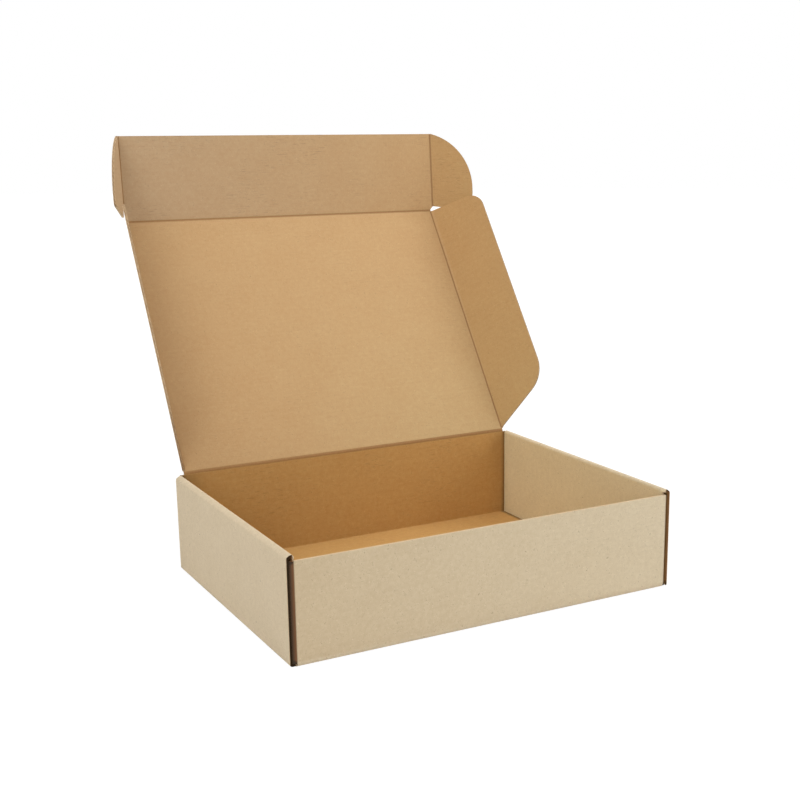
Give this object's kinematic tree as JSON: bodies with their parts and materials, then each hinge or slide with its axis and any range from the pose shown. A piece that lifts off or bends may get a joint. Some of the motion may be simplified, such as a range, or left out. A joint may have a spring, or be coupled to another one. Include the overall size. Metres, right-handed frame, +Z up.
{
  "type": "shipping box",
  "caption": "Folded corrugated mailer box standing open, with rolled-over side walls, a hinged lid with side flaps, and a tuck flap with rounded ears.",
  "frame": {"origin": "centre of the base's underside, on the surface it stands on", "axes": "+X to the right along the front wall, +Y to the back, towards the lid's hinge, +Z up"},
  "size_m": [0.3045, 0.3219, 0.2995],
  "materials": {
    "board": "matt"
  },
  "bodies": {
    "tray": {"tray": "board"},
    "lid": {"lid_panel": "board"},
    "left_side_flap": {"lid_left_flap": "board"},
    "right_side_flap": {"lid_right_flap": "board"},
    "tuck_flap": {"tuck_flap": "board"},
    "left_ear": {"left_ear": "board"},
    "right_ear": {"right_ear": "board"}
  },
  "joints": [
    {"name": "lid_hinge", "type": "hinge", "parent": "tray", "child": "lid", "pos_m": [0, 0.1018, 0.06926], "axis": [1, 0, 0], "range_deg": [-60, 67]},
    {"name": "left_side_flap_fold", "type": "hinge", "parent": "lid", "child": "left_side_flap", "pos_m": [-0.1311, 0.1018, 0.06926], "axis": [0.0129, 0.5577, 0.8299], "range_deg": [-73, 17]},
    {"name": "right_side_flap_fold", "type": "hinge", "parent": "lid", "child": "right_side_flap", "pos_m": [0.1311, 0.1018, 0.06926], "axis": [0.0129, -0.5577, -0.8299], "range_deg": [-58, 32]},
    {"name": "tuck_flap_fold", "type": "hinge", "parent": "lid", "child": "tuck_flap", "pos_m": [0, 0.21424, 0.23659], "axis": [1, 0, 0], "range_deg": [-30, 20]},
    {"name": "left_ear_fold", "type": "hinge", "parent": "tuck_flap", "child": "left_ear", "pos_m": [-0.1309, 0.21424, 0.23659], "axis": [0, 0.068, 0.9977], "range_deg": [-66, 24]},
    {"name": "right_ear_fold", "type": "hinge", "parent": "tuck_flap", "child": "right_ear", "pos_m": [0.1309, 0.21424, 0.23659], "axis": [0, -0.068, -0.9977], "range_deg": [-38, 52]}
  ]
}
